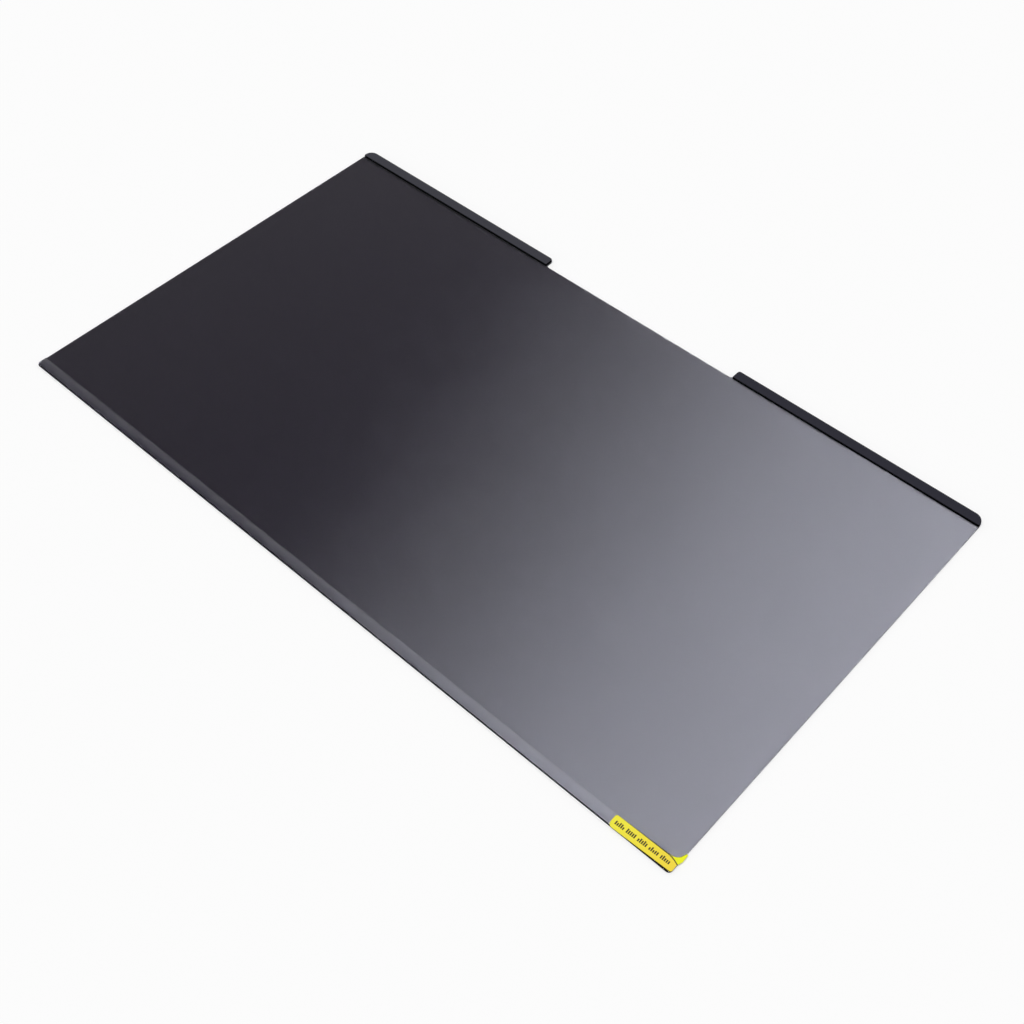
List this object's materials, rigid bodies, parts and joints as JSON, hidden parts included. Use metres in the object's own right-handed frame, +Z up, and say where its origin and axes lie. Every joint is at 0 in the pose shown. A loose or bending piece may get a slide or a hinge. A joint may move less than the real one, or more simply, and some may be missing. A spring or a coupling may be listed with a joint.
{
  "type": "laptop privacy filter",
  "caption": "Flat rectangular louver film that narrows a laptop screen's viewing angle, with magnet bars either side of a camera notch and a fixing strip and peel label on the near edge.",
  "frame": {"origin": "on the underside, below the centre of the film's outline, which the label passes by under a millimetre", "axes": "+X along the long side to the right, +Y towards the magnet bars, +Z up out of the face that carries the bars"},
  "size_m": [0.3447, 0.1992, 0.0017],
  "materials": {
    "louver_film": "satin, dark grey, faintly ribbed by its louvers",
    "magnet_rubber": "matt, finely grained black",
    "strip_film": "satin, slightly paler grey than the film",
    "label_stock": "satin yellow label stock with dark print"
  },
  "bodies": {
    "root": {"privacy_film": "louver_film", "left_magnet_bar": "magnet_rubber", "right_magnet_bar": "magnet_rubber", "bottom_strip": "strip_film", "peel_label": "label_stock"}
  },
  "joints": []
}
